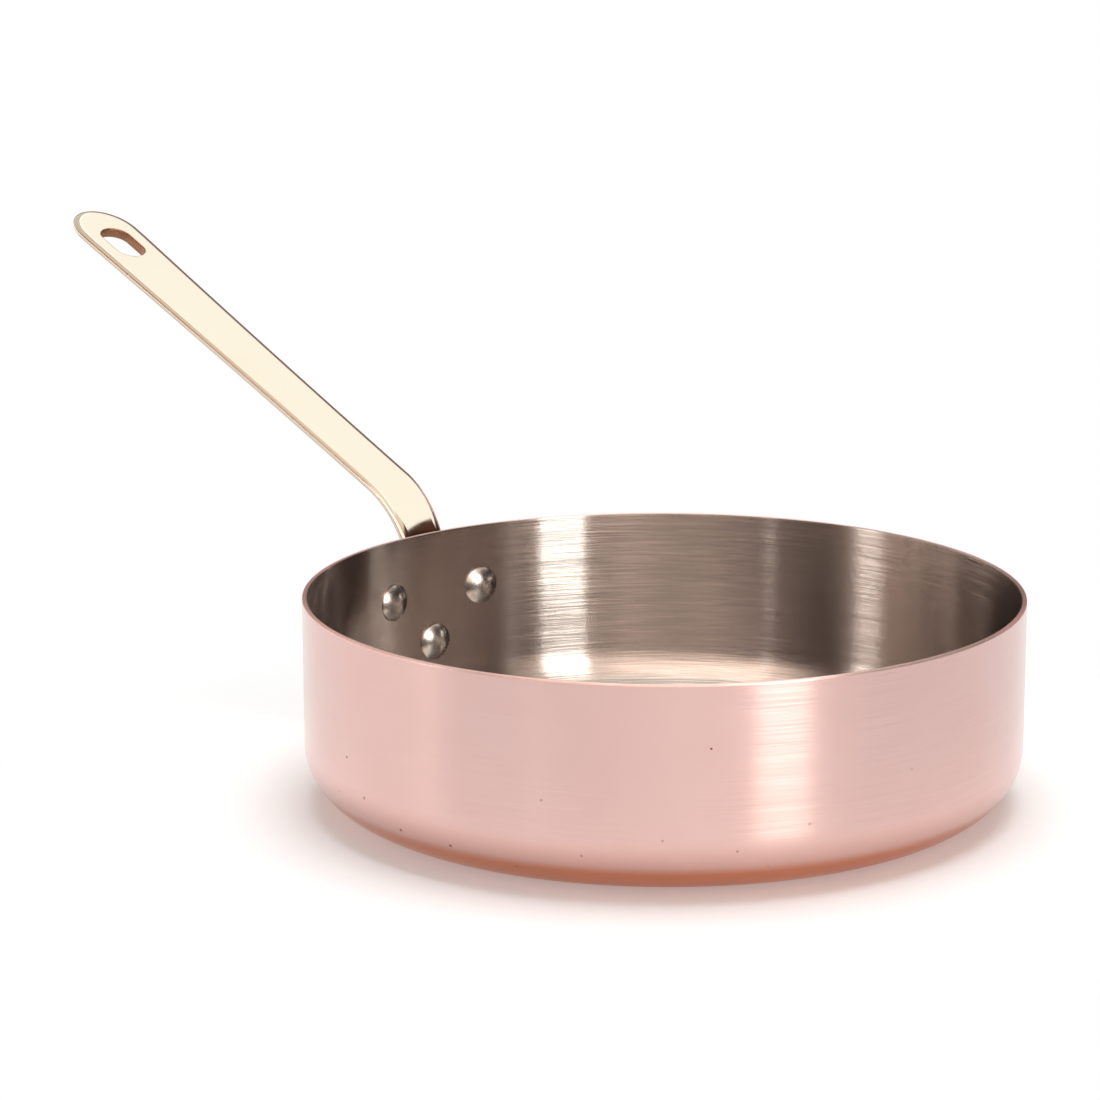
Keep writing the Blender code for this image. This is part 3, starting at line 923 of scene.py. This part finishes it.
# %% [markdown]
# ## The body and its lining
#
# The shell is one sheet: a straight wall, a round corner and a flat base. On the real pan the steel is
# bonded to the copper, so the copper fills the space up to the lining, and at the rim the two edges lie side
# by side. The rim's outer edge is rounded a little, as a file leaves it.

# %% Sections of the sheet
WALL_STEPS = 33
CORNER_STEPS = 20
FLOOR_STEPS = 6
EDGE_STEPS = 4


def quarter(steps, first=0):
    """Even steps through a right angle, as (sine, cosine)."""
    for step in range(first, steps + 1):
        turn = math.pi / 2 * step / steps
        yield math.sin(turn), math.cos(turn)


def bowl_side(depth_in):
    """From just under the rim to the axis, at a depth inside the outer face."""
    points = []
    top = PAN_HEIGHT - 2 * RIM_ROUND
    for step in range(WALL_STEPS):
        points.append((RIM_RADIUS - depth_in, top + (CORNER_HEIGHT - top) * step / WALL_STEPS))
    centre = RIM_RADIUS - CORNER_WIDTH
    for down, out in quarter(CORNER_STEPS):
        height = CORNER_HEIGHT - (CORNER_HEIGHT - depth_in) * down
        points.append((centre + (CORNER_WIDTH - depth_in) * out, height))
    for step in range(1, FLOOR_STEPS + 1):
        points.append((centre * (1 - step / FLOOR_STEPS), depth_in))
    return points


def rounded_edge(radius, height, size, outwards):
    """A quarter round at the top of a wall. outwards is 1 for its outer edge, -1 for its inner."""
    return [(radius - outwards * (size * (1 - across)), height - size * (1 - up))
            for across, up in quarter(EDGE_STEPS)]


def sheet_section(outer_depth, inner_depth, outer_round, inner_round):
    """A layer of the sheet: up the inside, over the rim and down the outside."""
    inside = list(reversed(bowl_side(inner_depth)))
    inner_edge = list(reversed(rounded_edge(RIM_RADIUS - inner_depth, PAN_HEIGHT, inner_round, -1)))
    outer_edge = rounded_edge(RIM_RADIUS - outer_depth, PAN_HEIGHT, outer_round, 1)
    return inside + inner_edge + outer_edge + bowl_side(outer_depth)


print("one side of the bowl", len(bowl_side(0.0)), "points")

# %% Rivet holes
HOLE_STEPS = 48
DRILL_LENGTH = 0.020


def outward(angle):
    """Direction out of the pan, at an angle from the handle's middle plane."""
    return Vector((-math.cos(angle), -math.sin(angle), 0.0))


def hole_cutters():
    made = []
    radius = SHANK_RADIUS + SHANK_CLEARANCE
    for angle, height in RIVETS:
        shape = bmesh.new()
        bmesh.ops.create_cone(shape, cap_ends=True, segments=HOLE_STEPS, radius1=radius, radius2=radius,
                              depth=DRILL_LENGTH)
        mesh = mesh_from("hole", shape)
        way = outward(angle)
        turn = way.to_track_quat("Z", "Y").to_matrix().to_4x4()
        mesh.transform(Matrix.Translation(way * RIM_RADIUS + Vector((0, 0, height))) @ turn)
        cutter = placed("hole", mesh)
        cutter.hide_render = True
        made.append(cutter)
    return made


holes = hole_cutters()
print(len(holes), "holes", mm([2 * (SHANK_RADIUS + SHANK_CLEARANCE)]), "mm wide")

# %% Copper body and steel lining
BODY_STEPS = 288

body_section = sheet_section(0.0, LINING_DEPTH - BOND, RIM_ROUND, JOINT_ROUND)
body = turned("pan_body", body_section, BODY_STEPS, copper, holes)
lining_section = sheet_section(LINING_DEPTH, LINING_DEPTH + LINING_WALL, JOINT_ROUND, MOUTH_ROUND)
lining = turned("pan_lining", lining_section, BODY_STEPS, lining_steel, holes)

# %% [markdown]
# ## The handle
#
# The handle is a tongue with a round end and, at the other end, a shield-shaped flange for the rivets. It is
# drawn flat first, as half of an outline. At each point of the outline a closed section is set up, with its
# small rounding on top and its large one underneath, and the sections are joined into one skin. Every point
# is bent as it is set: up the wall, round the neck and out along the bar, while the flange takes the wall's
# own curve.

# %% Bending the flat handle
NEARLY_FLAT = 0.001


def fading(along):
    """1 on the flange, easing to 0 at the end of the bend."""
    share = min(max(along / BEND_LENGTH, 0.0), 1.0)
    return 1 - share * share * (3 - 2 * share)


def bent(along, across, depth):
    """Where a point of the flat handle goes when it is bent. The flange is seated on the copper."""
    middle, _, down = path_frame(along)
    curve = fading(along) / FLANGE_RADIUS
    if depth < HANDLE_THICKNESS / 2:
        depth -= (SEAT_GAP - BOND) * fading(along) * (1 - 2 * depth / HANDLE_THICKNESS)
    if curve * FLANGE_RADIUS < NEARLY_FLAT:
        return middle + Vector((0.0, across, 0.0)) + down * depth
    radius = 1 / curve
    turn = across * curve
    sideways = (radius + depth) * math.sin(turn)
    sunk = (radius + depth) * math.cos(turn) - radius
    return middle + Vector((0.0, sideways, 0.0)) + down * sunk


print("middle of the bend at", mm(bent(BEND_LENGTH / 2, 0.0, 0.0)), "mm")

# %% The tongue, drawn flat
END_STEPS = 44
FLARE_STEPS = 26
NECK_STEPS = 44


def tongue_outline():
    """The round end, and the bar that narrows towards the pan."""
    middle = TIP_ALONG - END_CURVE
    points = [(middle + END_CURVE * along, END_WIDTH / 2 * across) for across, along in quarter(END_STEPS)]
    widest = middle - END_STRAIGHT
    for step in range(FLARE_STEPS + 1):
        share = 1 - step / FLARE_STEPS
        width = NECK_WIDTH + (END_WIDTH - NECK_WIDTH) * share**FLARE_EASE
        points.append((BEND_LENGTH + (widest - BEND_LENGTH) * share, width / 2))
    return points


def neck_outline(foot):
    """The neck, from the bar down to its foot on the flange."""
    points = []
    for step in range(1, NECK_STEPS):
        share = step / NECK_STEPS
        width = NECK_WIDTH + (FOOT_WIDTH - NECK_WIDTH) * share
        points.append((BEND_LENGTH + (foot - BEND_LENGTH) * share, width / 2))
    return points


# %% The flange, drawn flat
FILLET_STEPS = 18
LOBE_STEPS = 28
SIDE_STEPS = 12


def arc(centre, radius, start, end, steps):
    """Points of (along, across) on an arc. The angle is from the along direction towards across."""
    points = []
    for step in range(steps + 1):
        turn = start + (end - start) * step / steps
        points.append((centre[0] + radius * math.cos(turn), centre[1] + radius * math.sin(turn)))
    return points


def flange_outline():
    """The fillet under the neck, and the shield with its lobes round the rivets."""
    upper = (UPPER_ALONG, RIVET_SPREAD / 2)
    lower = (LOWER_ALONG, 0.0)
    slope = SHOULDER_SLOPE
    reach = upper[0] * math.cos(slope) + upper[1] * math.sin(slope) + LOBE_RADIUS
    fillet_across = FOOT_WIDTH / 2 + SHOULDER_FILLET
    fillet_along = (reach + SHOULDER_FILLET - fillet_across * math.sin(slope)) / math.cos(slope)
    centre = (fillet_along, fillet_across)
    fillet = arc(centre, SHOULDER_FILLET, -math.pi / 2, slope - math.pi, FILLET_STEPS)
    side = math.atan2(upper[1] - lower[1], upper[0] - lower[0]) + math.pi / 2
    upper_lobe = arc(upper, LOBE_RADIUS, slope, side, LOBE_STEPS)
    lower_lobe = arc(lower, LOBE_RADIUS, side, math.pi, LOBE_STEPS)
    start, end = Vector(upper_lobe[-1]), Vector(lower_lobe[0])
    edge = [tuple(start.lerp(end, step / SIDE_STEPS)) for step in range(1, SIDE_STEPS)]
    return fillet + upper_lobe + edge + lower_lobe


def half_outline():
    """One side of the handle, from the tip to the foot of the flange."""
    flange = flange_outline()
    return tongue_outline() + neck_outline(flange[0][0]) + flange


def outline_normals(points):
    """The way out of the outline at each of its points."""
    first, last = points[1], points[-2]
    padded = [(first[0], -first[1])] + points + [(last[0], -last[1])]
    normals = []
    for before, after in zip(padded, padded[2:]):
        normals.append(Vector((after[1] - before[1], before[0] - after[0])).normalized())
    return normals


print("outline", len(half_outline()), "points on each side")

# %% The section of the handle
TOP_STEPS = 5
UNDER_STEPS = 10
HALF_SHARES = [0.985, 0.93, 0.75, 0.5, 0.25]
SHARES = HALF_SHARES + [0.0] + [-share for share in reversed(HALF_SHARES)]


def edge_section(along):
    """The handle's edge as (inset, depth), from top to underside. It is sharper on the flange."""
    share = min(max(along / RIM_ALONG, 0.0), 1.0)
    ease = TOP_ROUND + (TOP_EASE - TOP_ROUND) * share
    points = [(ease * (1 - out), TOP_ROUND * (1 - up)) for out, up in quarter(TOP_STEPS)]
    for down, out in quarter(UNDER_STEPS, first=1):
        points.append((UNDER_ROUND * (1 - out), TOP_ROUND + (HANDLE_THICKNESS - TOP_ROUND) * down))
    return points


def rung(point, normal):
    """One closed section between a pair of outline points, as (along, across, depth)."""
    right = []
    for inset, depth in edge_section(point[0]):
        right.append((point[0] - normal.x * inset, max(point[1] - normal.y * inset, 0.0), depth))
    left = [(along, -across, depth) for along, across, depth in right]
    under = [(right[-1][0], right[-1][1] * share, right[-1][2]) for share in SHARES]
    top = [(left[0][0], left[0][1] * share, left[0][2]) for share in SHARES]
    return right + under + left[::-1] + top


# %% The skin of the handle
def join_rings(shape, rings):
    """Faces between each closed ring of corners and the next one."""
    count = len(rings[0])
    for near, far in zip(rings, rings[1:]):
        for index in range(count):
            following = (index + 1) % count
            shape.faces.new((near[index], near[following], far[following], far[index]))


def handle_skin():
    points = half_outline()
    shape = bmesh.new()
    rungs = []
    for point, normal in zip(points, outline_normals(points)):
        rungs.append([shape.verts.new(bent(*place)) for place in rung(point, normal)])
    join_rings(shape, rungs)
    clean(shape)
    mesh = mesh_from("handle_skin", shape)
    mesh.materials.append(brass)
    return placed("handle_skin", mesh)


skin = handle_skin()
print("skin", len(skin.data.polygons), "faces")

# %% [markdown]
# ### The hanging slot
#
# The slot was milled through the bar and its edges were eased with a file. The plug that cuts it is a stack
# of rings, wider at both faces on a rounded step, so that the edge catches a thin line of light.

# %% The slot's plug
SLOT_STEPS = 32
BREAK_STEPS = 5
PLUG_PAST = 0.003


def slot_levels():
    """How much the plug is widened at each depth through the bar, as (widening, depth)."""
    top = [(SLOT_BREAK * (1 - inwards), SLOT_BREAK * (1 - up)) for inwards, up in quarter(BREAK_STEPS)]
    bottom = [(grow, HANDLE_THICKNESS - depth) for grow, depth in reversed(top)]
    return [(SLOT_BREAK, -PLUG_PAST)] + top + bottom + [(SLOT_BREAK, HANDLE_THICKNESS + PLUG_PAST)]


def slot_plug():
    half = (SLOT_LENGTH - SLOT_WIDTH) / 2
    shape = bmesh.new()
    rings = []
    for grow, depth in slot_levels():
        radius = SLOT_WIDTH / 2 + grow
        ring = arc((half, 0.0), radius, -math.pi / 2, math.pi / 2, SLOT_STEPS)
        ring += arc((-half, 0.0), radius, math.pi / 2, 3 * math.pi / 2, SLOT_STEPS)
        rings.append([shape.verts.new((along, across, depth)) for along, across in ring])
    join_rings(shape, rings)
    shape.faces.new(rings[0])
    shape.faces.new(rings[-1])
    bmesh.ops.recalc_face_normals(shape, faces=shape.faces)
    mesh = mesh_from("slot_plug", shape)
    middle, way, down = path_frame(TIP_ALONG - SLOT_FROM_TIP)
    turn = Matrix((way, down.cross(way), down)).transposed()
    mesh.transform(Matrix.Translation(middle) @ turn.to_4x4())
    plug = placed("slot_plug", mesh)
    plug.hide_render = True
    return plug


# %% The handle, drilled and slotted
plug = slot_plug()
drill(skin, holes + [plug])
handle = plain_copy("cast_handle", skin)

# %% [markdown]
# ## The rivets
#
# Each rivet went in from the inside with its domed head against the steel, and its other end was struck flat
# over the flange. One rivet is turned as a pattern, and a second node tree sets a copy of it at each seat,
# with its axis pointing straight out of the pan.

# %% One rivet as a pattern
HEAD_STEPS = 14
RIVET_STEPS = 64
INNER_SEAT = math.sqrt(LINING_INNER**2 - HEAD_RADIUS**2)
OUTER_SEAT = FLANGE_RADIUS + HANDLE_THICKNESS


def domed_head(radius, height, edge):
    """A round head, from its axis at full height down to its seat."""
    rise = height - edge
    ball = (radius**2 + rise**2) / (2 * rise)
    widest = math.asin(radius / ball)
    points = []
    for step in range(HEAD_STEPS + 1):
        turn = widest * step / HEAD_STEPS
        points.append((ball * math.sin(turn), height - ball * (1 - math.cos(turn))))
    points.append((radius, 0.0))
    return points


def rivet_section():
    """From the set head's top down the shank to the domed head. Height 0 is the outer seat."""
    head_seat = INNER_SEAT - OUTER_SEAT
    set_head = domed_head(SET_HEAD_RADIUS, SET_HEAD_HEIGHT, HEAD_EDGE)
    shank = [(SHANK_RADIUS, 0.0), (SHANK_RADIUS, head_seat)]
    head = domed_head(HEAD_RADIUS, HEAD_HEIGHT, HEAD_EDGE)
    return set_head + shank + [(radius, head_seat - height) for radius, height in reversed(head)]


pattern = turned("rivet_pattern", rivet_section(), RIVET_STEPS, rivet_steel)

# %% Setting the rivets, as a node tree
def setting_tree():
    nodes, given = begin_tree("setting_rivets", [("Seats", "Geometry"), ("Rivet", "Object"),
                                                 ("Finish", "Material")], "Rivets")
    position = nodes.add("GeometryNodeInputPosition").outputs[0]
    level = nodes.vector("MULTIPLY", position, (1.0, 1.0, 0.0))
    turn = nodes.add("FunctionNodeAlignRotationToVector", {"Vector": level}, axis="Z").outputs[0]
    rivet = nodes.add("GeometryNodeObjectInfo", {"Object": given["Rivet"]}).outputs["Geometry"]
    sockets = {"Points": given["Seats"], "Instance": rivet, "Rotation": turn}
    copies = nodes.add("GeometryNodeInstanceOnPoints", sockets)
    return end_tree(nodes, copies.outputs[0], given["Finish"])


setting = setting_tree()

# %% Three rivets in their seats
seat_mesh = bpy.data.meshes.new("seats")
seat_mesh.from_pydata([outward(a) * OUTER_SEAT + Vector((0, 0, h)) for a, h in RIVETS], [], [])
seats = placed("seats", seat_mesh)
use_tree(seats, setting, {"Rivet": pattern, "Finish": rivet_steel})
rivets = plain_copy("three_rivets", seats)

# %% [markdown]
# ## Putting it together
#
# The cutters and the pattern have done their work and go. Each piece then stands for its solid and rides on
# the pan's one body.

# %% Tidy up, and tie each piece to the frame
for helper in holes + [plug, pattern]:
    bpy.data.objects.remove(helper, do_unlink=True)

for piece, nodes, finish in (
    (body, ["copper_body"], "copper"),
    (lining, ["steel_lining"], "lining_steel"),
    (handle, ["handle"], "brass"),
    (rivets, ["rivet_upper_left", "rivet_upper_right", "rivet_lower"], "rivet_steel"),
):
    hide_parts(*nodes)
    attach(piece, "root")
    print(piece.name, "stands for", ", ".join(nodes))

# %% Sizes, before and after
low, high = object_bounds()
print("finished model", mm(b - a for a, b in zip(low, high)), "mm")
